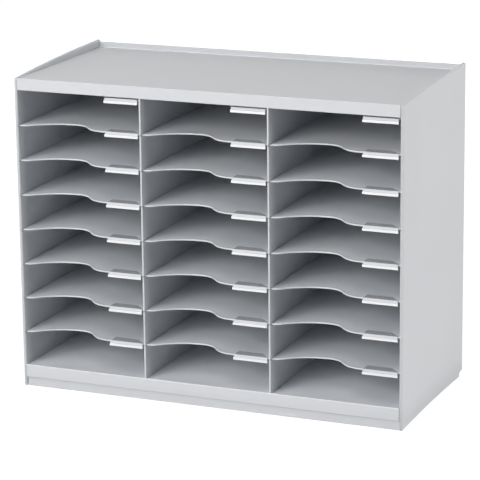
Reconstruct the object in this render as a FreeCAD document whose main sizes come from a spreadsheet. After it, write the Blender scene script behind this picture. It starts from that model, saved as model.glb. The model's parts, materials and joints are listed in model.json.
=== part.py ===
import FreeCAD, Part
import math
import os

import Sketcher

# Pigeonhole mail sorter: three columns of eight A4 compartments, moulded in polystyrene.
# Frame: +Z up, the front plane faces -Y, the origin is on the floor under the middle of the case.
# Every size below is in millimetres, and each has one row in the spreadsheet "Sizes".

doc = FreeCAD.newDocument("MailSorter")
sheet = doc.addObject("Spreadsheet::Sheet", "Sizes")
sheet_rows = []


class Dim:
    """A length that carries its spreadsheet formula beside its value."""

    def __init__(self, text, value):
        self.text = text
        self.value = float(value)

    def __add__(self, other):
        other = dim(other)
        return Dim("(%s + %s)" % (self.text, other.text), self.value + other.value)

    def __radd__(self, other):
        return dim(other) + self

    def __sub__(self, other):
        other = dim(other)
        return Dim("(%s - %s)" % (self.text, other.text), self.value - other.value)

    def __rsub__(self, other):
        return dim(other) - self

    def __mul__(self, other):
        other = dim(other)
        return Dim("(%s * %s)" % (self.text, other.text), self.value * other.value)

    def __rmul__(self, other):
        return dim(other) * self

    def __truediv__(self, other):
        other = dim(other)
        return Dim("(%s / %s)" % (self.text, other.text), self.value / other.value)

    def __neg__(self):
        return Dim("(0 - %s)" % self.text, -self.value)


def dim(number):
    return number if isinstance(number, Dim) else Dim("%g" % number, number)


def root(d):
    return Dim("sqrt(%s)" % d.text, math.sqrt(d.value))


def sine(d):
    return Dim("sin(%s)" % d.text, math.sin(math.radians(d.value)))


def cosine(d):
    return Dim("cos(%s)" % d.text, math.cos(math.radians(d.value)))


def size(alias, value, note):
    sheet_rows.append(alias)
    row = len(sheet_rows)
    sheet.set("A%d" % row, note)
    sheet.set("B%d" % row, str(value))
    sheet.setAlias("B%d" % row, alias)
    return Dim("Sizes.%s" % alias, value)


# --- overall case ---------------------------------------------------------------------------
overall_width = size("overall_width", 674, "outer face to outer face of the side panels")
overall_depth = size("overall_depth", 314, "front plane to rear plane")
overall_height = size("overall_height", 540, "rear top corner of the side panels")
front_height = size("front_height", 528.5, "front top corner of the side panels and the fascia")
column_count = size("column_count", 3, "columns side by side")
row_count = size("row_count", 8, "compartments in each column")

# --- side panels and dividers ---------------------------------------------------------------
side_thickness = size("side_thickness", 5.4, "side panel wall")
divider_thickness = size("divider_thickness", 3, "divider wall")
top_bow = size("top_bow", 2.4, "rise of the side panels' top edge above its chord")
bottom_bow = size("bottom_bow", 2.7, "rise of the side panels' bottom edge at mid-depth")
notch_depth = size("notch_depth", 16, "step at the side panels' rear foot, along the depth")
notch_height = size("notch_height", 7.5, "step at the side panels' rear foot, height")
notch_rise = size("notch_rise", 2, "rise of that step's upper edge towards the rear")
foot_radius = size("foot_radius", 3, "front bottom corner of the side panels")
brow_radius = size("brow_radius", 3, "front top corner of the side panels")
panel_round = size("panel_round", 2.2, "rounding of the side panels' front and top edges")
bead_round = size("bead_round", 0.8, "rounding of the dividers' front edge")

# --- trays ----------------------------------------------------------------------------------
tray_wall = size("tray_wall", 2.5, "wall of the top and base trays")
fascia_height = size("fascia_height", 20, "front band of the top tray")
surface_drop = size("surface_drop", 1, "top surface below the fascia's top edge")
rim_height = size("rim_height", 9, "rear rim above the top surface")
rim_thickness = size("rim_thickness", 4, "rear rim and rear lip of the trays")
skirt_height = size("skirt_height", 20, "rear skirt and end flanges below the top surface")
rib_thickness = size("rib_thickness", 2, "stiffening and locating ribs")
rib_depth = size("rib_depth", 15, "locating ribs below the top plate")
stiffener_depth = size("stiffener_depth", 8, "stiffening ribs below the top plate")
floor_top = size("floor_top", 36.5, "floor of the lowest compartments")
band_lip = size("band_lip", 1.5, "front band of the base above its floor")
band_bottom = size("band_bottom", 16, "underside of the front band of the base")
plinth_recess = size("plinth_recess", 4, "plinth behind the front plane")
rear_lip_height = size("rear_lip_height", 12, "rear lip of the base, from the floor's underside")
flange_clearance = size("flange_clearance", 4, "end flanges of the base above the ground")
base_rib_bottom = size("base_rib_bottom", 16, "ribs under the base floor above the ground")
peg_diameter = size("peg_diameter", 5, "pegs on the trays' ends")
peg_length = size("peg_length", 2.5, "pegs on the trays' ends")
peg_spacing = size("peg_spacing", 120, "from one peg to the next")
edge_round = size("edge_round", 0.8, "rounding of the trays' front edges")

# --- back panel -----------------------------------------------------------------------------
back_thickness = size("back_thickness", 2, "back panel sheet")
back_groove = size("back_groove", 2, "groove for the back panel in each side panel")
tab_height = size("tab_height", 12, "rear tabs of the dividers")
tab_proud = size("tab_proud", 1.2, "rear tabs behind the back panel")
tab_first = size("tab_first", 100, "lowest rear tab above the ground")
tab_pitch = size("tab_pitch", 160, "from one rear tab to the next")
foot_tab_length = size("foot_tab_length", 20, "bottom tabs of the dividers")
foot_tab_first = size("foot_tab_first", 60, "front bottom tab behind the front plane")
foot_tab_pitch = size("foot_tab_pitch", 160, "from one bottom tab to the next")

# --- shelves --------------------------------------------------------------------------------
shelf_pitch = size("shelf_pitch", 59, "from one shelf to the next")
shelf_thickness = size("shelf_thickness", 2.6, "shelf sheet")
shelf_setback = size("shelf_setback", 6, "shelf front behind the front plane")
shelf_rear_gap = size("shelf_rear_gap", 1, "shelf rear edge before the back panel")
side_groove = size("side_groove", 1.2, "depth of the shelf grooves in the side panels")
divider_groove = size("divider_groove", 1, "depth of the shelf grooves in the dividers")
fit_clearance = size("fit_clearance", 0.2, "play on each face of a sliding or plugged fit")
shelf_round = size("shelf_round", 0.9, "rounding of the shelf's front edge")
scoop_start = size("scoop_start", 3.5, "start of the finger scoop from the compartment's left wall")
scoop_crest = size("scoop_crest", 87.5, "deepest place of the scoop from the left wall")
scoop_depth = size("scoop_depth", 34, "depth of the scoop")
scoop_lead_radius = size("scoop_lead_radius", 18, "lead-in at the left end of the scoop")
scoop_shoulder_radius = size("scoop_shoulder_radius", 32, "turn at the right of the crest")
scoop_return_radius = size("scoop_return_radius", 43, "run-out at the right end of the scoop")
scoop_return_angle = size("scoop_return_angle", 52.8, "slope of the return, in degrees")

# --- label holders --------------------------------------------------------------------------
label_width = size("label_width", 59.6, "front plate of a label holder")
label_end_gap = size("label_end_gap", 3.5, "right end of a label holder from the wall")
label_drop = size("label_drop", 8, "front plate below the shelf's top")
label_lean = size("label_lean", 2.26, "forward lean of the plate over that drop")
label_wall = size("label_wall", 1, "front plate")
label_slot = size("label_slot", 0.6, "slot for the card")
label_lip_wall = size("label_lip_wall", 1.2, "lip in front of the card")
label_lip_height = size("label_lip_height", 4.3, "lip in front of the card")
label_slot_floor = size("label_slot_floor", 1.2, "material under the card")
label_flange = size("label_flange", 0.5, "clip flanges above and below the shelf")
label_play = size("label_play", 0.05, "play of the clip flanges on the sheet")
label_flange_depth = size("label_flange_depth", 17.5, "upper clip flange")
label_flange_taper = size("label_flange_taper", 17, "upper clip flange narrower at its rear")
label_grip_depth = size("label_grip_depth", 8, "lower clip flange")
label_flange_inset = size("label_flange_inset", 1.5, "flanges set in from the left end")
label_lip_round = size("label_lip_round", 0.5, "rounding of the lip")
tongue_gap = size("tongue_gap", 3.2, "tongue for the top row's holders below the fascia")
tongue_depth = size("tongue_depth", 20.5, "length of that tongue")
doc.recompute()

# --- places that several pieces share -------------------------------------------------------
columns = int(column_count.value)
rows = int(row_count.value)
inner_face = overall_width / 2 - side_thickness
column_width = (2 * inner_face - (column_count - 1) * divider_thickness) / column_count
fascia_bottom = front_height - fascia_height
surface = front_height - surface_drop
plate_under = surface - tray_wall
skirt_bottom = surface - skirt_height
band_top = floor_top + band_lip
floor_under = floor_top - tray_wall
back_front = overall_depth - rim_thickness - fit_clearance - back_thickness
rim_front = overall_depth - rim_thickness
rear_foot = overall_depth - notch_depth
tongue_top = fascia_bottom - tongue_gap
peg_top_height = (surface + skirt_bottom) / 2
peg_base_height = (floor_under + flange_clearance) / 2


# --- helpers --------------------------------------------------------------------------------
def new_body(label):
    body = doc.addObject("PartDesign::Body", label)
    body.Label = label
    return body


def place(body, x, y, z):
    for axis, value in (("x", dim(x)), ("y", dim(y)), ("z", dim(z))):
        body.setExpression("Placement.Base.%s" % axis, value.text)


def origin_feature(body, role):
    return [f for f in body.Origin.OriginFeatures if f.Role == role][0]


def sketch(body, name, role, offset=0):
    """A sketch on one of the body's own origin planes, moved along that plane's normal."""
    offset = dim(offset)
    sk = body.newObject("Sketcher::SketchObject", "%s_%s" % (body.Label, name))
    sk.AttachmentSupport = [(origin_feature(body, role), "")]
    sk.MapMode = "FlatFace"
    sk.AttachmentOffset = FreeCAD.Placement(
        FreeCAD.Vector(0, 0, offset.value), FreeCAD.Rotation()
    )
    sk.setExpression("AttachmentOffset.Base.z", offset.text)
    return sk


def bind(sk, kind, first, value):
    """One driving constraint, bound to its formula."""
    index = sk.addConstraint(Sketcher.Constraint(kind, *first, value.value))
    sk.setExpression("Constraints[%d]" % index, value.text)


def pin(sk, geometry, end, x, y):
    """Fixes one end of a line or an arc at (x, y) in the sketch."""
    for kind, axis, value in (("DistanceX", -2, dim(x)), ("DistanceY", -1, dim(y))):
        if value.text == "0":
            sk.addConstraint(Sketcher.Constraint("PointOnObject", geometry, end, axis))
        else:
            bind(sk, kind, (-1, 1, geometry, end), value)


def arc_between(p, q, radius):
    """The short arc from p to q, turning left for a positive radius and right for a negative."""
    chord = q - p
    middle = (p + q) * 0.5
    left = FreeCAD.Vector(-chord.y, chord.x, 0).normalize()
    reach = math.sqrt(max(radius * radius - chord.Length**2 / 4, 0))
    centre = middle + left * (reach if radius > 0 else -reach)
    start, stop = (p, q) if radius > 0 else (q, p)
    a0 = math.atan2(start.y - centre.y, start.x - centre.x)
    a1 = math.atan2(stop.y - centre.y, stop.x - centre.x)
    circle = Part.Circle(centre, FreeCAD.Vector(0, 0, 1), abs(radius))
    return Part.ArcOfCircle(circle, a0, a1 if a1 > a0 else a1 + 2 * math.pi)


def outline(sk, corners):
    """A closed outline. Each corner is (x, y), or (x, y, radius) where an arc follows it."""
    points = [FreeCAD.Vector(dim(c[0]).value, dim(c[1]).value, 0) for c in corners]
    count = len(corners)
    start_end = []
    for i, corner in enumerate(corners):
        p, q = points[i], points[(i + 1) % count]
        if len(corner) == 3:
            radius = corner[2]
            edge = sk.addGeometry(arc_between(p, q, radius.value), False)
            size_of = radius if radius.value > 0 else -radius
            bind(sk, "Radius", (edge,), size_of)
            start_end.append((edge, 1, 2) if radius.value > 0 else (edge, 2, 1))
        else:
            edge = sk.addGeometry(Part.LineSegment(p, q), False)
            start_end.append((edge, 1, 2))
    for i in range(count):
        edge, start, stop = start_end[i]
        following, following_start, _ = start_end[(i + 1) % count]
        sk.addConstraint(
            Sketcher.Constraint("Coincident", edge, stop, following, following_start)
        )
        pin(sk, edge, start, corners[i][0], corners[i][1])


def rectangle(sk, x0, y0, x1, y1):
    outline(sk, [(x0, y0), (x1, y0), (x1, y1), (x0, y1)])


def disc(sk, x, y, diameter):
    centre = FreeCAD.Vector(dim(x).value, dim(y).value, 0)
    normal = FreeCAD.Vector(0, 0, 1)
    edge = sk.addGeometry(Part.Circle(centre, normal, dim(diameter).value / 2), False)
    bind(sk, "Radius", (edge,), dim(diameter) / 2)
    pin(sk, edge, 3, x, y)


def extrude(body, kind, name, sk, length, reverse):
    feature = body.newObject("PartDesign::%s" % kind, "%s_%s" % (body.Label, name))
    feature.Profile = sk
    feature.Length = dim(length).value
    feature.setExpression("Length", dim(length).text)
    feature.Reversed = reverse
    return feature


def pad(body, name, sk, length, reverse=False):
    """Adds material along the sketch's normal, or against it when reversed."""
    return extrude(body, "Pad", name, sk, length, reverse)


def pocket(body, name, sk, length, reverse=False):
    """Cuts against the sketch's normal, or along it when reversed, and proves that it cut."""
    doc.recompute()
    before = body.Shape.Volume
    feature = extrude(body, "Pocket", name, sk, length, reverse)
    doc.recompute()
    if not body.Shape.Volume < before - 0.5:
        raise RuntimeError("%s cuts nothing" % feature.Name)
    return feature


def repeat(body, name, feature, role, length, count):
    """Repeats a feature in a row along one of the body's own axes."""
    pattern = body.newObject("PartDesign::LinearPattern", "%s_%s" % (body.Label, name))
    pattern.Originals = [feature]
    pattern.Direction = (origin_feature(body, role), [""])
    pattern.Length = dim(length).value
    pattern.setExpression("Length", dim(length).text)
    pattern.Occurrences = int(dim(count).value)
    pattern.setExpression("Occurrences", dim(count).text)
    body.Tip = pattern
    return pattern


def fillet(body, name, base, radius, wanted):
    """Rounds the edges of the base feature for which wanted(bounding box) is true."""
    doc.recompute()
    names = [
        "Edge%d" % (i + 1)
        for i, edge in enumerate(base.Shape.Edges)
        if wanted(edge.BoundBox)
    ]
    if not names:
        raise RuntimeError("%s finds no edge" % name)
    feature = body.newObject("PartDesign::Fillet", "%s_%s" % (body.Label, name))
    feature.Base = (base, names)
    feature.Radius = dim(radius).value
    feature.setExpression("Radius", dim(radius).text)
    return feature


def near(a, b):
    return abs(a - dim(b).value) < 0.02


def bow_radius(chord, bow):
    """Radius of the arc that rises by bow over the middle of the chord."""
    return (chord * chord / 4 + bow * bow) / (2 * bow)


parts = []


# --- side panels ----------------------------------------------------------------------------
# A flat panel with a bowed top edge that climbs to the rear, a bowed bottom edge, a stepped rear
# foot, shelf grooves open at the front, a groove for the back panel and sockets for the pegs.
# The inner face is the body's x = 0; hand is -1 for the left panel and +1 for the right one.
def side_panel(label, hand):
    body = new_body(label)
    place(body, hand * inner_face, -(overall_depth / 2), 0)
    climb = overall_height - front_height
    run = overall_depth - brow_radius
    sk = sketch(body, "outline", "YZ_Plane")
    outline(
        sk,
        [
            (foot_radius, 0, -bow_radius(rear_foot - foot_radius, bottom_bow)),
            (rear_foot, 0),
            (rear_foot, notch_height),
            (overall_depth, notch_height + notch_rise),
            (overall_depth, overall_height, bow_radius(root(run * run + climb * climb), top_bow)),
            (brow_radius, front_height, brow_radius),
            (0, front_height - brow_radius),
            (0, foot_radius, foot_radius),
        ],
    )
    wall = pad(body, "wall", sk, side_thickness, reverse=hand < 0)
    fillet(
        body, "edges", wall, panel_round, lambda b: near(b.YMax, 0) and b.ZLength > 100
    )

    sk = sketch(body, "shelf_groove", "XZ_Plane")
    top = floor_top + shelf_pitch + fit_clearance
    bottom = top - shelf_thickness - 2 * fit_clearance
    if hand > 0:
        rectangle(sk, 0, bottom, side_groove, top)
    else:
        rectangle(sk, -side_groove, bottom, 0, top)
    groove = pocket(body, "groove", sk, back_front)
    repeat(body, "grooves", groove, "Z_Axis", (row_count - 2) * shelf_pitch, row_count - 1)

    sk = sketch(body, "back_groove", "XY_Plane", floor_top)
    if hand > 0:
        rectangle(sk, 0, back_front - fit_clearance, back_groove, rim_front)
    else:
        rectangle(sk, -back_groove, back_front - fit_clearance, 0, rim_front)
    pocket(body, "back_slot", sk, plate_under - floor_top, reverse=True)

    sk = sketch(body, "sockets", "YZ_Plane")
    for height in (peg_base_height, peg_top_height):
        for step in (-1, 0, 1):
            centre = overall_depth / 2 + step * peg_spacing
            disc(sk, centre, height, peg_diameter + 2 * fit_clearance)
    pocket(body, "peg_sockets", sk, peg_length + fit_clearance, reverse=hand > 0)
    parts.append(body)


side_panel("left_side_panel", -1)
side_panel("right_side_panel", 1)


# --- dividers -------------------------------------------------------------------------------
# A thin upright between two columns. Its rounded front strip shows between the fascia and the
# base band, the plate behind runs from the floor to the top plate, three tabs pass through the
# back panel and two through the base floor. Both faces carry shelf grooves.
def divider(label, index):
    body = new_body(label)
    half = divider_thickness / 2
    pitch = column_width + divider_thickness
    place(body, pitch * index - half - inner_face, -(overall_depth / 2), 0)
    plate_front = tray_wall + fit_clearance
    sk = sketch(body, "outline", "YZ_Plane", -half)
    outline(
        sk,
        [
            (plate_front, floor_top),
            (back_front, floor_top),
            (back_front, plate_under),
            (plate_front, plate_under),
            (plate_front, fascia_bottom),
            (0, fascia_bottom),
            (0, band_top),
            (plate_front, band_top),
        ],
    )
    plate = pad(body, "plate", sk, divider_thickness)
    fillet(
        body, "bead", plate, bead_round, lambda b: near(b.YMax, 0) and b.ZLength > 100
    )

    sk = sketch(body, "rear_tab", "YZ_Plane", -half)
    rectangle(
        sk, back_front, tab_first, back_front + back_thickness + tab_proud, tab_first + tab_height
    )
    tab = pad(body, "tab", sk, divider_thickness)
    repeat(body, "tabs", tab, "Z_Axis", 2 * tab_pitch, 3)

    sk = sketch(body, "foot_tab", "YZ_Plane", -half)
    rectangle(sk, foot_tab_first, floor_under, foot_tab_first + foot_tab_length, floor_top)
    tab = pad(body, "foot", sk, divider_thickness)
    repeat(body, "feet", tab, "Y_Axis", foot_tab_pitch, 2)

    top = floor_top + shelf_pitch + fit_clearance
    bottom = top - shelf_thickness - 2 * fit_clearance
    sk = sketch(body, "shelf_groove", "XZ_Plane")
    rectangle(sk, -half, bottom, divider_groove - half, top)
    rectangle(sk, half - divider_groove, bottom, half, top)
    groove = pocket(body, "groove", sk, back_front)
    repeat(body, "grooves", groove, "Z_Axis", (row_count - 2) * shelf_pitch, row_count - 1)
    parts.append(body)


divider_names = ["left_divider", "right_divider"]
if columns != 3:
    divider_names = ["divider_%d" % (i + 1) for i in range(columns - 1)]
for number, name in enumerate(divider_names):
    divider(name, number + 1)


# --- top tray -------------------------------------------------------------------------------
# One moulding: fascia, top plate just below the fascia's edge, rear rim and rear skirt, end
# flanges with pegs, ribs that locate the dividers, a stiffener over each column and, at the
# right of each column, a hanging tongue that takes the top row's label holder.
def column_left(column):
    return (column_width + divider_thickness) * column - inner_face


def end_pegs(body, height):
    for name, offset, reverse in (
        ("left", -inner_face, True),
        ("right", inner_face, False),
    ):
        sk = sketch(body, "pegs_%s" % name, "YZ_Plane", offset)
        for step in (-1, 0, 1):
            disc(sk, overall_depth / 2 + step * peg_spacing, height, peg_diameter)
        pad(body, "peg_%s" % name, sk, peg_length, reverse)


top_tray = new_body("top_tray")
place(top_tray, 0, -(overall_depth / 2), 0)
sk = sketch(top_tray, "section", "YZ_Plane", -inner_face)
outline(
    sk,
    [
        (0, fascia_bottom),
        (tray_wall, fascia_bottom),
        (tray_wall, plate_under),
        (rim_front, plate_under),
        (rim_front, skirt_bottom),
        (overall_depth, skirt_bottom),
        (overall_depth, surface + rim_height),
        (rim_front, surface + rim_height),
        (rim_front, surface),
        (tray_wall, surface),
        (tray_wall, front_height),
        (0, front_height),
    ],
)
shell = pad(top_tray, "shell", sk, 2 * inner_face)
rim_top = surface + rim_height
fillet(
    top_tray,
    "edges",
    shell,
    edge_round,
    lambda b: b.XLength > 100
    and (
        (near(b.YMax, 0))
        or (near(b.ZMin, rim_top))
        or (near(b.ZMin, front_height) and near(b.YMin, tray_wall))
    ),
)

sk = sketch(top_tray, "end_flanges", "XY_Plane", skirt_bottom)
flange_back = back_front - fit_clearance
rectangle(sk, -inner_face, tray_wall, tray_wall - inner_face, flange_back)
rectangle(sk, inner_face - tray_wall, tray_wall, inner_face, flange_back)
pad(top_tray, "flanges", sk, plate_under - skirt_bottom)
end_pegs(top_tray, peg_top_height)

sk = sketch(top_tray, "locating_ribs", "XY_Plane", plate_under - rib_depth)
for column in range(1, columns):
    left = column_left(column)
    right = left - divider_thickness
    near_side = right - fit_clearance
    rectangle(sk, near_side - rib_thickness, tray_wall, near_side, back_front - fit_clearance)
    far_side = left + fit_clearance
    rectangle(sk, far_side, tray_wall, far_side + rib_thickness, back_front - fit_clearance)
pad(top_tray, "locators", sk, rib_depth)

sk = sketch(top_tray, "stiffening_ribs", "XY_Plane", plate_under - stiffener_depth)
for column in range(columns):
    middle = column_left(column) + column_width / 2
    edge = middle - rib_thickness / 2
    rectangle(sk, edge, tray_wall, edge + rib_thickness, back_front - fit_clearance)
pad(top_tray, "stiffeners", sk, stiffener_depth)

web_front = shelf_setback + tongue_depth - tray_wall
for column in range(columns):
    right = column_left(column) + column_width - label_end_gap
    sk = sketch(top_tray, "tongue_%d" % (column + 1), "YZ_Plane", right - label_width)
    outline(
        sk,
        [
            (shelf_setback, tongue_top - shelf_thickness),
            (shelf_setback + tongue_depth, tongue_top - shelf_thickness),
            (shelf_setback + tongue_depth, plate_under),
            (web_front, plate_under),
            (web_front, tongue_top),
            (shelf_setback, tongue_top),
        ],
    )
    pad(top_tray, "hanger_%d" % (column + 1), sk, label_width)
parts.append(top_tray)


# --- base tray ------------------------------------------------------------------------------
# One moulding: floor, flush front band whose edge stands above the floor, recessed plinth, rear
# skirt in line with the side panels' step, rear lip behind the back panel, end flanges with pegs,
# ribs under the floor and slots for the dividers' tabs.
base_tray = new_body("base_tray")
place(base_tray, 0, -(overall_depth / 2), 0)
plinth_back = plinth_recess + tray_wall
sk = sketch(base_tray, "section", "YZ_Plane", -inner_face)
outline(
    sk,
    [
        (0, band_bottom),
        (plinth_recess, band_bottom),
        (plinth_recess, 0),
        (plinth_back, 0),
        (plinth_back, band_bottom + tray_wall),
        (tray_wall, band_bottom + tray_wall),
        (tray_wall, floor_under),
        (rear_foot - tray_wall, floor_under),
        (rear_foot - tray_wall, 0),
        (rear_foot, 0),
        (rear_foot, floor_under),
        (overall_depth, floor_under),
        (overall_depth, floor_under + rear_lip_height),
        (rim_front, floor_under + rear_lip_height),
        (rim_front, floor_top),
        (tray_wall, floor_top),
        (tray_wall, band_top),
        (0, band_top),
    ],
)
shell = pad(base_tray, "shell", sk, 2 * inner_face)
fillet(
    base_tray,
    "edges",
    shell,
    edge_round,
    lambda b: b.XLength > 100 and near(b.YMax, 0),
)

sk = sketch(base_tray, "end_flanges", "XY_Plane", flange_clearance)
rectangle(sk, -inner_face, plinth_back, tray_wall - inner_face, rear_foot - tray_wall)
rectangle(sk, inner_face - tray_wall, plinth_back, inner_face, rear_foot - tray_wall)
pad(base_tray, "flanges", sk, floor_under - flange_clearance)
end_pegs(base_tray, peg_base_height)

sk = sketch(base_tray, "floor_ribs", "XY_Plane", base_rib_bottom)
for step in range(1, 2 * columns):
    column = step // 2
    middle = column_left(column) + column_width / 2
    if step % 2 == 0:
        middle = column_left(column) - divider_thickness / 2
    edge = middle - rib_thickness / 2
    rectangle(sk, edge, plinth_back, edge + rib_thickness, rear_foot - tray_wall)
pad(base_tray, "floor_stiffeners", sk, floor_under - base_rib_bottom)

sk = sketch(base_tray, "tab_slots", "XY_Plane", floor_top)
for column in range(1, columns):
    slot_left = column_left(column) - divider_thickness - fit_clearance
    for step in range(2):
        slot_front = foot_tab_first + step * foot_tab_pitch - fit_clearance
        rectangle(
            sk,
            slot_left,
            slot_front,
            slot_left + divider_thickness + 2 * fit_clearance,
            slot_front + foot_tab_length + 2 * fit_clearance,
        )
pocket(base_tray, "slots", sk, tray_wall)
parts.append(base_tray)


# --- back panel -----------------------------------------------------------------------------
# A thin sheet that stands on the base floor, runs in the side panels' grooves and lies against
# the trays' rear walls. Six slots let the dividers' tabs through. Its front face is y = 0.
back_panel = new_body("back_panel")
place(back_panel, 0, back_front - overall_depth / 2, 0)
sk = sketch(back_panel, "outline", "XZ_Plane")
reach = inner_face + back_groove - fit_clearance
rectangle(sk, -reach, floor_top, reach, plate_under)
for column in range(1, columns):
    slot_left = column_left(column) - divider_thickness - fit_clearance
    for step in range(3):
        slot_bottom = tab_first + step * tab_pitch - fit_clearance
        rectangle(
            sk,
            slot_left,
            slot_bottom,
            slot_left + divider_thickness + 2 * fit_clearance,
            slot_bottom + tab_height + 2 * fit_clearance,
        )
pad(back_panel, "sheet", sk, back_thickness, reverse=True)
parts.append(back_panel)


# --- shelves --------------------------------------------------------------------------------
# A flat sheet with a finger scoop at the left of its front edge. Each side runs in a groove and
# is as long as that groove is deep, less the play. The origin is the front edge's top line at
# the compartment's left wall. The scoop is five tangent pieces: lead-in arc, long sweep up to
# the crest, shoulder arc, straight return and run-out arc.
def shelf(label, column, row):
    body = new_body(label)
    left_reach = (side_groove if column == 0 else divider_groove) - fit_clearance
    right_reach = (side_groove if column == columns - 1 else divider_groove) - fit_clearance
    height = floor_top + (row_count - row) * shelf_pitch
    place(body, column_left(column), shelf_setback - overall_depth / 2, height)
    length = back_front - shelf_rear_gap - shelf_setback

    span = scoop_crest - scoop_start
    slope = scoop_depth / span
    lead_sine = 2 * slope / (1 + slope * slope)
    lead_cosine = (1 - slope * slope) / (1 + slope * slope)
    sweep_radius = span / lead_sine - scoop_lead_radius
    turn_sine = sine(scoop_return_angle)
    turn_cosine = cosine(scoop_return_angle)
    turn = (scoop_shoulder_radius + scoop_return_radius) * (1 - turn_cosine)
    straight = (scoop_depth - turn) / turn_sine
    scoop_end = (
        scoop_crest
        + (scoop_shoulder_radius + scoop_return_radius) * turn_sine
        + straight * turn_cosine
    )
    sk = sketch(body, "outline", "XY_Plane")
    outline(
        sk,
        [
            (-left_reach, 0),
            (scoop_start, 0, scoop_lead_radius),
            (
                scoop_start + scoop_lead_radius * lead_sine,
                scoop_lead_radius * (1 - lead_cosine),
                -sweep_radius,
            ),
            (scoop_crest, scoop_depth, -scoop_shoulder_radius),
            (
                scoop_crest + scoop_shoulder_radius * turn_sine,
                scoop_depth - scoop_shoulder_radius * (1 - turn_cosine),
            ),
            (
                scoop_end - scoop_return_radius * turn_sine,
                scoop_return_radius * (1 - turn_cosine),
                scoop_return_radius,
            ),
            (scoop_end, 0),
            (column_width + right_reach, 0),
            (column_width + right_reach, length),
            (-left_reach, length),
        ],
    )
    sheet_pad = pad(body, "sheet", sk, shelf_thickness, reverse=True)
    crest = scoop_depth.value + 1
    fillet(
        body,
        "front_edge",
        sheet_pad,
        shelf_round,
        lambda b: b.YMax < crest and b.ZLength < 0.01,
    )
    parts.append(body)


for column in range(columns):
    for row in range(1, rows):
        shelf("shelf_c%d_r%d" % (column + 1, row), column, row)


# --- label holders --------------------------------------------------------------------------
# A clip that grips the front edge of the shelf above its compartment, or the top tray's tongue in
# the top row: a forward leaning plate with a lip that holds a card, and two flanges that grip the
# sheet with a little play, the upper one cut off at a slant at its rear right corner. The origin is
# the sheet's top front line at the holder's left end.
def label_holder(label, column, row):
    body = new_body(label)
    height = tongue_top if row == 1 else floor_top + (row_count - row + 1) * shelf_pitch
    left = column_left(column) + column_width - label_end_gap - label_width
    place(body, left, shelf_setback - overall_depth / 2, height)

    def leaned(drop):
        return -(label_lean * drop / label_drop)

    lip_top = label_drop - label_lip_height
    slot_floor = label_drop - label_slot_floor
    plate_and_slot = label_wall + label_slot
    full = plate_and_slot + label_lip_wall
    sk = sketch(body, "plate_section", "YZ_Plane")
    outline(
        sk,
        [
            (leaned(label_drop) - full, -label_drop),
            (leaned(label_drop), -label_drop),
            (0, 0),
            (0, label_play + label_flange),
            (-label_wall, label_play + label_flange),
            (leaned(slot_floor) - label_wall, -slot_floor),
            (leaned(slot_floor) - plate_and_slot, -slot_floor),
            (leaned(lip_top) - plate_and_slot, -lip_top),
            (leaned(lip_top) - full, -lip_top),
        ],
    )
    plate = pad(body, "plate", sk, label_width)
    lip_edge = leaned(lip_top) - full
    foot_edge = leaned(label_drop) - full
    fillet(
        body,
        "lip_edges",
        plate,
        label_lip_round,
        lambda b: b.XLength > 10
        and (
            (near(b.YMin, lip_edge) and near(b.ZMin, -lip_top))
            or (near(b.YMin, foot_edge) and near(b.ZMin, -label_drop))
        ),
    )

    sk = sketch(body, "flange_outline", "XY_Plane", label_play)
    outline(
        sk,
        [
            (label_flange_inset, -label_wall / 2),
            (label_width, -label_wall / 2),
            (label_width, 0),
            (label_width - label_flange_taper, label_flange_depth),
            (label_flange_inset, label_flange_depth),
        ],
    )
    pad(body, "upper_flange", sk, label_flange)
    sheet_under = shelf_thickness + label_play
    under = sheet_under + label_flange
    sk = sketch(body, "grip_section", "YZ_Plane", label_flange_inset)
    rectangle(sk, leaned(under), -under, label_grip_depth, -sheet_under)
    pad(body, "lower_flange", sk, label_width - label_flange_inset)
    parts.append(body)


for column in range(columns):
    for row in range(1, rows + 1):
        label_holder("label_holder_c%d_r%d" % (column + 1, row), column, row)


# --- checks and files -----------------------------------------------------------------------
doc.recompute()
for item in doc.Objects:
    if "Invalid" in item.State or "Error" in item.State:
        raise RuntimeError("%s did not build: %s" % (item.Name, item.State))
for body in parts:
    if body.Shape.isNull() or not body.Shape.isValid():
        raise RuntimeError("%s has no valid shape" % body.Label)
    if len(body.Shape.Solids) != 1:
        raise RuntimeError("%s is %d solids" % (body.Label, len(body.Shape.Solids)))

os.makedirs("parts", exist_ok=True)
for body in parts:
    body.Shape.exportStep("parts/%s.step" % body.Label)
print("%d parts" % len(parts))
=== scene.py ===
import json
import math

import bpy
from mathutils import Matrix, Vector


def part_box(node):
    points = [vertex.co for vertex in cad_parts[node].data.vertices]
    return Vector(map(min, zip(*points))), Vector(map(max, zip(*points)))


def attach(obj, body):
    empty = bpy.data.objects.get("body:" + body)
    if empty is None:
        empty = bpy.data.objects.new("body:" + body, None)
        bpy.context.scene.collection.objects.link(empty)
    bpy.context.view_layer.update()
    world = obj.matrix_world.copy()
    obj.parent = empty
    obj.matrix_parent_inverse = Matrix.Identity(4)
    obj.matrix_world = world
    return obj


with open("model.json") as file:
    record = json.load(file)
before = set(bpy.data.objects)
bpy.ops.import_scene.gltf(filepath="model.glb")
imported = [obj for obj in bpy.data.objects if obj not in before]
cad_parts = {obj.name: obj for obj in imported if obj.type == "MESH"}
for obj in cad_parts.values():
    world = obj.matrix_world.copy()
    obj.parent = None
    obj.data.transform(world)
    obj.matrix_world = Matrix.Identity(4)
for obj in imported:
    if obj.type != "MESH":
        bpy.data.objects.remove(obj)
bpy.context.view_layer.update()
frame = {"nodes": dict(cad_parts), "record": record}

# --- Base tray -------------------------------------------------------------------------------
# One moulding in light grey polystyrene, satin from a finely eroded mould: floor, front band,
# recessed plinth. The sizes below are the grain and the tone of every moulding of the case, and
# each later section names its own variation of them.
case_grey = (0.668, 0.694, 0.722)
grain_pitch = 0.0011
grain_height = 0.00005
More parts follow.
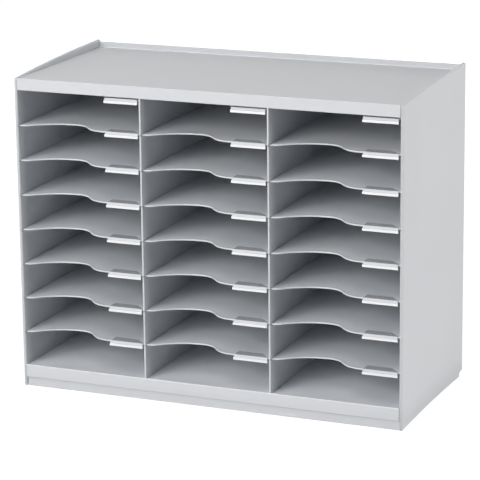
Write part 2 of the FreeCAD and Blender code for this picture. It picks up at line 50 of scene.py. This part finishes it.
# painted shade: every moulding is darkened towards its foot, over this height and down to this
# factor
painted_shade_height = 0.045
painted_shade_tone = 0.90
# the floor's level, above which the base tray carries painted light
floor_level = 0.0365
zone_blend = (0.0004, 0.0001)
# the depth over which the painted shade at the front edge fades in
front_edge = (-0.1562, -0.1542)
refraction = 1.59
tone_swing = 0.025
rubbed_tone = 1.09
edge_reach = 0.0009


def put(nodes, kind, **settings):
    """A node with its plain settings; inputs are given by name with spaces as underscores."""
    node = nodes.new(kind)
    for key, value in settings.items():
        if hasattr(node, key):
            setattr(node, key, value)
        else:
            node.inputs[key.replace("_", " ")].default_value = value
    return node


def moulded_styrene(
    name, tone, roughness, flow, seed, worn=0.5, painted_level_factor=1.0, painted_level=floor_level, front=1.0
):
    """Satin polystyrene: eroded grain, faint flow marks along one axis, scuffs, worn edges.
    Painted shade darkens it towards its foot; above a given level the tone is multiplied by a
    factor that paints light or shade, and near the front edge by a factor that paints shade."""
    material = bpy.data.materials.new(name)
    material.use_nodes = True
    nodes, link = material.node_tree.nodes, material.node_tree.links.new
    nodes.clear()
    out = put(nodes, "ShaderNodeOutputMaterial")
    plastic = put(nodes, "ShaderNodeBsdfPrincipled")
    plastic.inputs["IOR"].default_value = refraction
    plastic.inputs["Specular IOR Level"].default_value = 0.42
    place = put(nodes, "ShaderNodeTexCoord")

    # slow drift of the tone over the moulding, with flow marks drawn out along the fill
    stretched = put(nodes, "ShaderNodeMapping")
    stretched.inputs["Scale"].default_value = flow
    stretched.inputs["Location"].default_value = (seed * 3.1, seed * 1.7, seed * 0.9)
    link(place.outputs["Object"], stretched.inputs["Vector"])
    marks = put(nodes, "ShaderNodeTexNoise", Scale=5.0, Detail=4.0, Roughness=0.55)
    link(stretched.outputs["Vector"], marks.inputs["Vector"])
    drift = put(nodes, "ShaderNodeTexNoise", Scale=3.2, Detail=2.0)
    link(place.outputs["Object"], drift.inputs["Vector"])
    both = put(nodes, "ShaderNodeMath", operation="MULTIPLY_ADD")
    both.inputs[1].default_value = 0.5
    link(marks.outputs["Fac"], both.inputs[0])
    link(drift.outputs["Fac"], both.inputs[2])
    tones = put(nodes, "ShaderNodeValToRGB")
    tones.color_ramp.elements[0].position = 0.45
    tones.color_ramp.elements[0].color = (*[c * (1 - tone_swing) for c in tone], 1)
    tones.color_ramp.elements[1].position = 1.05
    tones.color_ramp.elements[1].color = (*[min(c * (1 + tone_swing), 1) for c in tone], 1)
    link(both.outputs[0], tones.inputs["Fac"])

    # tone zones: painted shade low down, painted light or painted shade above a level, painted
    # shade at the front edge
    level = put(nodes, "ShaderNodeSeparateXYZ")
    link(place.outputs["Object"], level.inputs["Vector"])
    foot_shade = put(nodes, "ShaderNodeMapRange", To_Min=painted_shade_tone, interpolation_type="SMOOTHSTEP")
    foot_shade.inputs["To Max"].default_value = 1.0
    foot_shade.inputs["From Max"].default_value = painted_shade_height
    link(level.outputs["Z"], foot_shade.inputs["Value"])
    inside = put(nodes, "ShaderNodeMapRange", To_Min=1.0, To_Max=painted_level_factor)
    inside.inputs["From Min"].default_value = painted_level - zone_blend[0]
    inside.inputs["From Max"].default_value = painted_level - zone_blend[1]
    link(level.outputs["Z"], inside.inputs["Value"])
    edge = put(nodes, "ShaderNodeMapRange", To_Min=front, To_Max=1.0)
    edge.inputs["From Min"].default_value = front_edge[0]
    edge.inputs["From Max"].default_value = front_edge[1]
    link(level.outputs["Y"], edge.inputs["Value"])
    painted_zones = put(nodes, "ShaderNodeMath", operation="MULTIPLY")
    link(foot_shade.outputs["Result"], painted_zones.inputs[0])
    link(inside.outputs["Result"], painted_zones.inputs[1])
    depth = put(nodes, "ShaderNodeMath", operation="MULTIPLY")
    link(painted_zones.outputs[0], depth.inputs[0])
    link(edge.outputs["Result"], depth.inputs[1])
    # the tone times the painted shade and painted light of the zones
    painted_tones = put(nodes, "ShaderNodeVectorMath", operation="SCALE")
    link(tones.outputs["Color"], painted_tones.inputs[0])
    link(depth.outputs[0], painted_tones.inputs["Scale"])

    # fine scuffs, long and thin, that only show as a paler, rougher line
    slanted = put(nodes, "ShaderNodeMapping")
    slanted.inputs["Scale"].default_value = (14.0, 160.0, 90.0)
    slanted.inputs["Rotation"].default_value = (0.5, 0.35, 0.6 + seed)
    link(place.outputs["Object"], slanted.inputs["Vector"])
    scuffs = put(nodes, "ShaderNodeTexNoise", Scale=1.0, Detail=2.0)
    link(slanted.outputs["Vector"], scuffs.inputs["Vector"])
    rare = put(nodes, "ShaderNodeMapRange", From_Min=0.74, From_Max=0.82)
    link(scuffs.outputs["Fac"], rare.inputs["Value"])

    # edges rub paler: the bevelled normal leaves the flat one only near an edge
    flat = put(nodes, "ShaderNodeNewGeometry")
    rounded = put(nodes, "ShaderNodeBevel", samples=4, Radius=edge_reach)
    near_edge = put(nodes, "ShaderNodeVectorMath", operation="DOT_PRODUCT")
    link(flat.outputs["Normal"], near_edge.inputs[0])
    link(rounded.outputs["Normal"], near_edge.inputs[1])
    rub = put(nodes, "ShaderNodeMapRange", From_Min=0.995, From_Max=0.85, To_Max=worn)
    link(near_edge.outputs["Value"], rub.inputs["Value"])
    pale = put(nodes, "ShaderNodeMix", data_type="RGBA")
    pale.inputs["B"].default_value = (*[min(c * rubbed_tone, 1) for c in tone], 1)
    marked = put(nodes, "ShaderNodeMath", operation="MAXIMUM")
    link(rub.outputs["Result"], marked.inputs[0])
    link(rare.outputs["Result"], marked.inputs[1])
    link(marked.outputs[0], pale.inputs["Factor"])
    link(painted_tones.outputs["Vector"], pale.inputs["A"])
    link(pale.outputs["Result"], plastic.inputs["Base Color"])

    # roughness follows the flow marks and the scuffs
    rough = put(nodes, "ShaderNodeMapRange", To_Min=roughness - 0.05, To_Max=roughness + 0.07)
    link(marks.outputs["Fac"], rough.inputs["Value"])
    rougher = put(nodes, "ShaderNodeMath", operation="MULTIPLY_ADD")
    rougher.inputs[1].default_value = 0.12
    link(marked.outputs[0], rougher.inputs[0])
    link(rough.outputs["Result"], rougher.inputs[2])
    link(rougher.outputs[0], plastic.inputs["Roughness"])

    # eroded mould grain over a faint sink of the wall
    grain = put(nodes, "ShaderNodeTexNoise", Scale=1 / grain_pitch, Detail=3.0, Roughness=0.6)
    link(place.outputs["Object"], grain.inputs["Vector"])
    fine = put(nodes, "ShaderNodeBump", Strength=0.35, Distance=grain_height)
    link(grain.outputs["Fac"], fine.inputs["Height"])
    sink = put(nodes, "ShaderNodeBump", Strength=0.25, Distance=0.0006)
    link(drift.outputs["Fac"], sink.inputs["Height"])
    link(rounded.outputs["Normal"], sink.inputs["Normal"])
    link(sink.outputs["Normal"], fine.inputs["Normal"])
    link(fine.outputs["Normal"], plastic.inputs["Normal"])
    link(plastic.outputs["BSDF"], out.inputs["Surface"])
    return material


def dress(node, material):
    """Gives a carried-over moulding its finish in the slot that it already has."""
    piece = frame["nodes"][node]
    if not piece.material_slots:
        piece.data.materials.append(material)
    for slot in piece.material_slots:
        slot.material = material


base_grey = tuple(c * 1.05 for c in case_grey)
# painted light: the base tray above the floor's level, its floor among it, is lightened by this
# factor
painted_floor_light = 1.12
base_styrene = moulded_styrene(
    "base_styrene", base_grey, 0.40, (0.5, 6.0, 9.0), 1.0, painted_level_factor=painted_floor_light
)
dress("base_tray", base_styrene)

# --- Side panels -----------------------------------------------------------------------------
# Two flat injection mouldings with a bowed top edge. They fill from the foot upwards, so the
# flow marks stand upright. Their front edges are darkened by painted shade.
# painted shade: the front strip of the side panels is darkened by this factor
painted_front_shade = 0.86
side_styrene = moulded_styrene(
    "side_styrene", case_grey, 0.40, (8.0, 6.0, 0.7), 2.0, worn=0.15, front=painted_front_shade
)
dress("left_side_panel", side_styrene)
dress("right_side_panel", side_styrene)

# --- Dividers --------------------------------------------------------------------------------
# Thin uprights with a rounded front strip, tabbed through the back panel. The strip is polished
# a little by hands and paper.
divider_styrene = moulded_styrene("divider_styrene", case_grey, 0.36, (8.0, 6.0, 0.7), 3.0, 0.7)
dress("left_divider", divider_styrene)
dress("right_divider", divider_styrene)

# --- Back panel ------------------------------------------------------------------------------
# An extruded sheet, slightly duller and a shade darker than the mouldings, slid into the side
# panels' grooves. Its extrusion lines run upright.
back_grey = tuple(c * 0.93 for c in case_grey)
dress("back_panel", moulded_styrene("back_sheet", back_grey, 0.52, (22.0, 3.0, 0.3), 4.0, 0.3))

# --- Top tray --------------------------------------------------------------------------------
# Fascia, flat top and rear rim in one moulding, pegged between the side panels. It fills from
# the middle of the rear, so the flow marks run along the depth.
# The rim is darkened by painted shade.
rim_level = 0.5292
# painted shade: the top tray above the rim level, the face of the rear rim, is darkened by this
# factor
painted_rim_shade = 0.85
top_styrene = moulded_styrene(
    "top_styrene", case_grey, 0.43, (5.0, 0.8, 6.0), 5.0, painted_level_factor=painted_rim_shade, painted_level=rim_level
)
dress("top_tray", top_styrene)

# --- Shelves ---------------------------------------------------------------------------------
# Flat sheets with a finger scoop, each free to run out in its two grooves. Four finishes from
# the same mould, so that neighbours don't show the same marks.
shelf_grey = tuple(c * 1.07 for c in case_grey)
finish_count = 4
shelf_finishes = [
    moulded_styrene(
        "shelf_styrene_%d" % number, shelf_grey, 0.38, (6.0, 0.8, 6.0), 6.0 + number, 0.7
    )
    for number in range(finish_count)
]
shelves = sorted(name for name in frame["nodes"] if name.startswith("shelf_"))
for number, name in enumerate(shelves):
    dress(name, shelf_finishes[number % finish_count])

# --- Label holders ---------------------------------------------------------------------------
# Polystyrene clips on the shelf edges: a leaning plate with a lip at its foot, gripped on the
# sheet by two flanges. Only the thick lip looks milky; the plate and the flanges are a clear film
# that darkens what lies behind it a little.
lip_back = -0.1538
film_front = -0.1536
film_grey = (0.33, 0.35, 0.37, 1)
film_opacity = 0.24

clear = bpy.data.materials.new("clip_styrene")
clear.use_nodes = True
nodes, link = clear.node_tree.nodes, clear.node_tree.links.new
clip = nodes["Principled BSDF"]
clip.inputs["IOR"].default_value = refraction
place = put(nodes, "ShaderNodeTexCoord")
along = put(nodes, "ShaderNodeSeparateXYZ")
link(place.outputs["Object"], along.inputs["Vector"])
ripple = put(nodes, "ShaderNodeTexNoise", Scale=160.0, Detail=2.0)
link(place.outputs["Object"], ripple.inputs["Vector"])
milk = put(nodes, "ShaderNodeMix", data_type="RGBA")
milk.inputs["A"].default_value = (0.74, 0.76, 0.78, 1)
milk.inputs["B"].default_value = (0.79, 0.81, 0.83, 1)
link(ripple.outputs["Fac"], milk.inputs["Factor"])
thin = put(nodes, "ShaderNodeMapRange")
thin.inputs["From Min"].default_value = lip_back
thin.inputs["From Max"].default_value = film_front
link(along.outputs["Y"], thin.inputs["Value"])
film = put(nodes, "ShaderNodeMix", data_type="RGBA")
film.inputs["B"].default_value = film_grey
link(thin.outputs["Result"], film.inputs["Factor"])
link(milk.outputs["Result"], film.inputs["A"])
link(film.outputs["Result"], clip.inputs["Base Color"])
see_through = put(nodes, "ShaderNodeMapRange", To_Min=1.0, To_Max=film_opacity)
link(thin.outputs["Result"], see_through.inputs["Value"])
link(see_through.outputs["Result"], clip.inputs["Alpha"])
sheen = put(nodes, "ShaderNodeMapRange", To_Min=0.38, To_Max=0.48)
link(ripple.outputs["Fac"], sheen.inputs["Value"])
link(sheen.outputs["Result"], clip.inputs["Roughness"])
waves = put(nodes, "ShaderNodeBump", Strength=0.2, Distance=0.0001)
link(ripple.outputs["Fac"], waves.inputs["Height"])
link(waves.outputs["Normal"], clip.inputs["Normal"])
holders = sorted(name for name in frame["nodes"] if name.startswith("label_holder_"))
for name in holders:
    dress(name, clear)

# --- Cards -----------------------------------------------------------------------------------
# A blank strip of white card stands in each holder's slot, leaning with the plate and a little
# taller than it. Each body gets the cards that ride on it: the case has the whole top row.
card_width = 0.0584
card_height = 0.0073
card_thickness = 0.00032
card_from_left = 0.0003
slot_lean = math.atan(1.921 / 7.35)
slot_foot = (0.00184, 0.0012)

paper = bpy.data.materials.new("white_card")
paper.use_nodes = True
nodes, link = paper.node_tree.nodes, paper.node_tree.links.new
sheet = nodes["Principled BSDF"]
place = put(nodes, "ShaderNodeTexCoord")
fibres = put(nodes, "ShaderNodeTexNoise", Scale=900.0, Detail=4.0)
link(place.outputs["Object"], fibres.inputs["Vector"])
white = put(nodes, "ShaderNodeValToRGB")
white.color_ramp.elements[0].color = (0.65, 0.68, 0.72, 1)
white.color_ramp.elements[1].color = (0.71, 0.74, 0.78, 1)
link(fibres.outputs["Fac"], white.inputs["Fac"])
link(white.outputs["Color"], sheet.inputs["Base Color"])
tooth = put(nodes, "ShaderNodeMapRange", To_Min=0.55, To_Max=0.75)
link(fibres.outputs["Fac"], tooth.inputs["Value"])
link(tooth.outputs["Result"], sheet.inputs["Roughness"])
felt = put(nodes, "ShaderNodeBump", Strength=0.3, Distance=0.00004)
link(fibres.outputs["Fac"], felt.inputs["Height"])
link(felt.outputs["Normal"], sheet.inputs["Normal"])

card_row = bpy.data.node_groups.new("card_row", "GeometryNodeTree")
sockets = {}
for label, kind in (
    ("Width", "NodeSocketFloat"),
    ("Height", "NodeSocketFloat"),
    ("Thickness", "NodeSocketFloat"),
    ("Lean", "NodeSocketFloat"),
    ("First", "NodeSocketVector"),
    ("Step", "NodeSocketVector"),
    ("Count", "NodeSocketInt"),
    ("Card", "NodeSocketMaterial"),
):
    socket = card_row.interface.new_socket(label, in_out="INPUT", socket_type=kind)
    sockets[label] = socket.identifier
card_row.interface.new_socket("Cards", in_out="OUTPUT", socket_type="NodeSocketGeometry")
nodes, link = card_row.nodes, card_row.links.new
given = nodes.new("NodeGroupInput")
result = nodes.new("NodeGroupOutput")
blank_size = nodes.new("ShaderNodeCombineXYZ")
link(given.outputs["Width"], blank_size.inputs["X"])
link(given.outputs["Thickness"], blank_size.inputs["Y"])
link(given.outputs["Height"], blank_size.inputs["Z"])
blank = nodes.new("GeometryNodeMeshCube")
link(blank_size.outputs["Vector"], blank.inputs["Size"])
tilt = nodes.new("ShaderNodeCombineXYZ")
link(given.outputs["Lean"], tilt.inputs["X"])
standing = nodes.new("GeometryNodeTransform")
link(blank.outputs["Mesh"], standing.inputs["Geometry"])
link(tilt.outputs["Vector"], standing.inputs["Rotation"])
slots_line = nodes.new("GeometryNodeMeshLine")
link(given.outputs["Count"], slots_line.inputs["Count"])
link(given.outputs["First"], slots_line.inputs["Start Location"])
link(given.outputs["Step"], slots_line.inputs["Offset"])
filled = nodes.new("GeometryNodeInstanceOnPoints")
link(slots_line.outputs["Mesh"], filled.inputs["Points"])
link(standing.outputs["Geometry"], filled.inputs["Instance"])
loose = nodes.new("GeometryNodeRealizeInstances")
link(filled.outputs["Instances"], loose.inputs["Geometry"])
finish = nodes.new("GeometryNodeSetMaterial")
link(loose.outputs["Geometry"], finish.inputs["Geometry"])
link(given.outputs["Card"], finish.inputs["Material"])
link(finish.outputs["Geometry"], result.inputs["Cards"])


def card_seat(holder):
    """The middle of the card in one holder, from the holder's own box."""
    low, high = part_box(holder)
    left = low.x + card_from_left
    foot = Vector((left + card_width / 2, low.y + slot_foot[0], low.z + slot_foot[1]))
    up = Vector((0, math.tan(slot_lean), 1)).normalized()
    return foot + up * (card_height / 2)


def slip_in_cards(name, body, first, step, count):
    mesh = bpy.data.meshes.new(name)
    maker = bpy.data.objects.new(name + "_maker", mesh)
    bpy.context.scene.collection.objects.link(maker)
    modifier = maker.modifiers.new("cards", "NODES")
    modifier.node_group = card_row
    for label, value in (
        ("Width", card_width),
        ("Height", card_height),
        ("Thickness", card_thickness),
        ("Lean", -slot_lean),
        ("First", tuple(first)),
        ("Step", tuple(step)),
        ("Count", count),
        ("Card", paper),
    ):
        modifier[sockets[label]] = value
    seen = maker.evaluated_get(bpy.context.evaluated_depsgraph_get())
    cards = bpy.data.objects.new(name, bpy.data.meshes.new_from_object(seen))
    bpy.data.objects.remove(maker)
    bpy.context.scene.collection.objects.link(cards)
    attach(cards, body)


bodies = frame["record"]["behaviour"]["bodies"]
for body, members in sorted(bodies.items()):
    own = sorted(name for name in members if name.startswith("label_holder_"))
    first = card_seat(own[0])
    step = (card_seat(own[-1]) - first) / max(len(own) - 1, 1)
    slip_in_cards("cards_" + body, body, first, step, len(own))

# --- Studio ----------------------------------------------------------------------------------
# A white sweep under plain soft light: a broad bank in front and a high one over it, a smaller
# one level with each other side. The floor keeps a faint shadow and otherwise shows as white.
floor_size = 40
floor_middle = (0, 6, -0.0005)
bounce_grey = (0.65, 0.65, 0.65, 1)
shadow_grey = (0.14, 0.14, 0.14, 1)
pure_white = (1, 1, 1, 1)

bpy.ops.mesh.primitive_plane_add(size=floor_size, location=floor_middle)
floor = bpy.context.object
floor.name = "floor"
ground = bpy.data.materials.new("white_floor")
ground.use_nodes = True
nodes, link = ground.node_tree.nodes, ground.node_tree.links.new
nodes.clear()
out = put(nodes, "ShaderNodeOutputMaterial")
seen_by = put(nodes, "ShaderNodeLightPath")
direct = put(nodes, "ShaderNodeMath", operation="MAXIMUM")
link(seen_by.outputs["Is Camera Ray"], direct.inputs[0])
link(seen_by.outputs["Is Glossy Ray"], direct.inputs[1])
shown = put(nodes, "ShaderNodeMath", operation="MAXIMUM")
link(direct.outputs[0], shown.inputs[0])
link(seen_by.outputs["Is Transmission Ray"], shown.inputs[1])
matt = put(nodes, "ShaderNodeBsdfDiffuse", Color=bounce_grey)
faint = put(nodes, "ShaderNodeBsdfDiffuse", Color=shadow_grey)
glow = put(nodes, "ShaderNodeEmission", Color=pure_white, Strength=0.975)
sweep = put(nodes, "ShaderNodeAddShader")
link(faint.outputs["BSDF"], sweep.inputs[0])
link(glow.outputs["Emission"], sweep.inputs[1])
choose = put(nodes, "ShaderNodeMixShader")
link(shown.outputs[0], choose.inputs["Fac"])
link(matt.outputs["BSDF"], choose.inputs[1])
link(sweep.outputs["Shader"], choose.inputs[2])
link(choose.outputs["Shader"], out.inputs["Surface"])
floor.data.materials.append(ground)

world = bpy.data.worlds.new("studio")
bpy.context.scene.world = world
world.use_nodes = True
nodes, link = world.node_tree.nodes, world.node_tree.links.new
nodes.clear()
out = put(nodes, "ShaderNodeOutputWorld")
seen_by = put(nodes, "ShaderNodeLightPath")
direct = put(nodes, "ShaderNodeMath", operation="MAXIMUM")
link(seen_by.outputs["Is Camera Ray"], direct.inputs[0])
link(seen_by.outputs["Is Glossy Ray"], direct.inputs[1])
shown = put(nodes, "ShaderNodeMath", operation="MAXIMUM")
link(direct.outputs[0], shown.inputs[0])
link(seen_by.outputs["Is Transmission Ray"], shown.inputs[1])
fill = put(nodes, "ShaderNodeBackground", Color=(0.96, 0.98, 1.0, 1), Strength=0.02)
backdrop = put(nodes, "ShaderNodeBackground", Color=pure_white, Strength=1.0)
choose = put(nodes, "ShaderNodeMixShader")
link(shown.outputs[0], choose.inputs["Fac"])
link(fill.outputs["Background"], choose.inputs[1])
link(backdrop.outputs["Background"], choose.inputs[2])
link(choose.outputs["Shader"], out.inputs["Surface"])

middle = Vector((0.0, 0.0, 0.27))


def light_bank(name, bearing, rise, distance, side, power, tint):
    """A square soft bank; bearing 0 is in front and 90 to the right, rise is above the level."""
    bank = bpy.data.lights.new(name, "AREA")
    bank.shape = "SQUARE"
    bank.size = side
    bank.energy = power
    bank.color = tint
    stand = bpy.data.objects.new(name, bank)
    bpy.context.scene.collection.objects.link(stand)
    turn, lift = math.radians(bearing), math.radians(rise)
    level = math.cos(lift)
    away = Vector((math.sin(turn) * level, -math.cos(turn) * level, math.sin(lift)))
    stand.location = middle + away * distance
    stand.rotation_euler = (-away).to_track_quat("-Z", "Y").to_euler()


soft_white = (1.0, 0.977, 0.969)
light_bank("front_bank", -15, 22, 5.5, 2.8, 207.0, soft_white)
light_bank("high_bank", -15, 60, 4.5, 2.5, 50.0, soft_white)
light_bank("right_bank", 90, 5, 4.0, 1.2, 76.0, soft_white)
light_bank("left_bank", -95, 5, 4.0, 1.2, 70.0, soft_white)
light_bank("rear_bank", 180, 5, 4.0, 1.2, 72.0, soft_white)
light_bank("top_bank", -150, 50, 4.0, 2.0, 15.0, soft_white)

# --- Camera ----------------------------------------------------------------------------------
# Right of the front and a little above, from a distance of four metres with a long lens.
lens = bpy.data.cameras.new("camera")
lens.sensor_width = 36.0
lens.lens = 182.738
camera = bpy.data.objects.new("camera", lens)
bpy.context.scene.collection.objects.link(camera)
camera.location = (1.5216, -3.6371, 1.2810)
camera_turns = (75.2864, 0.6532, 22.5876)
camera.rotation_euler = [math.radians(turn) for turn in camera_turns]
lens.clip_end = 60.0
bpy.context.scene.camera = camera

bpy.context.scene.view_settings.view_transform = "Standard"
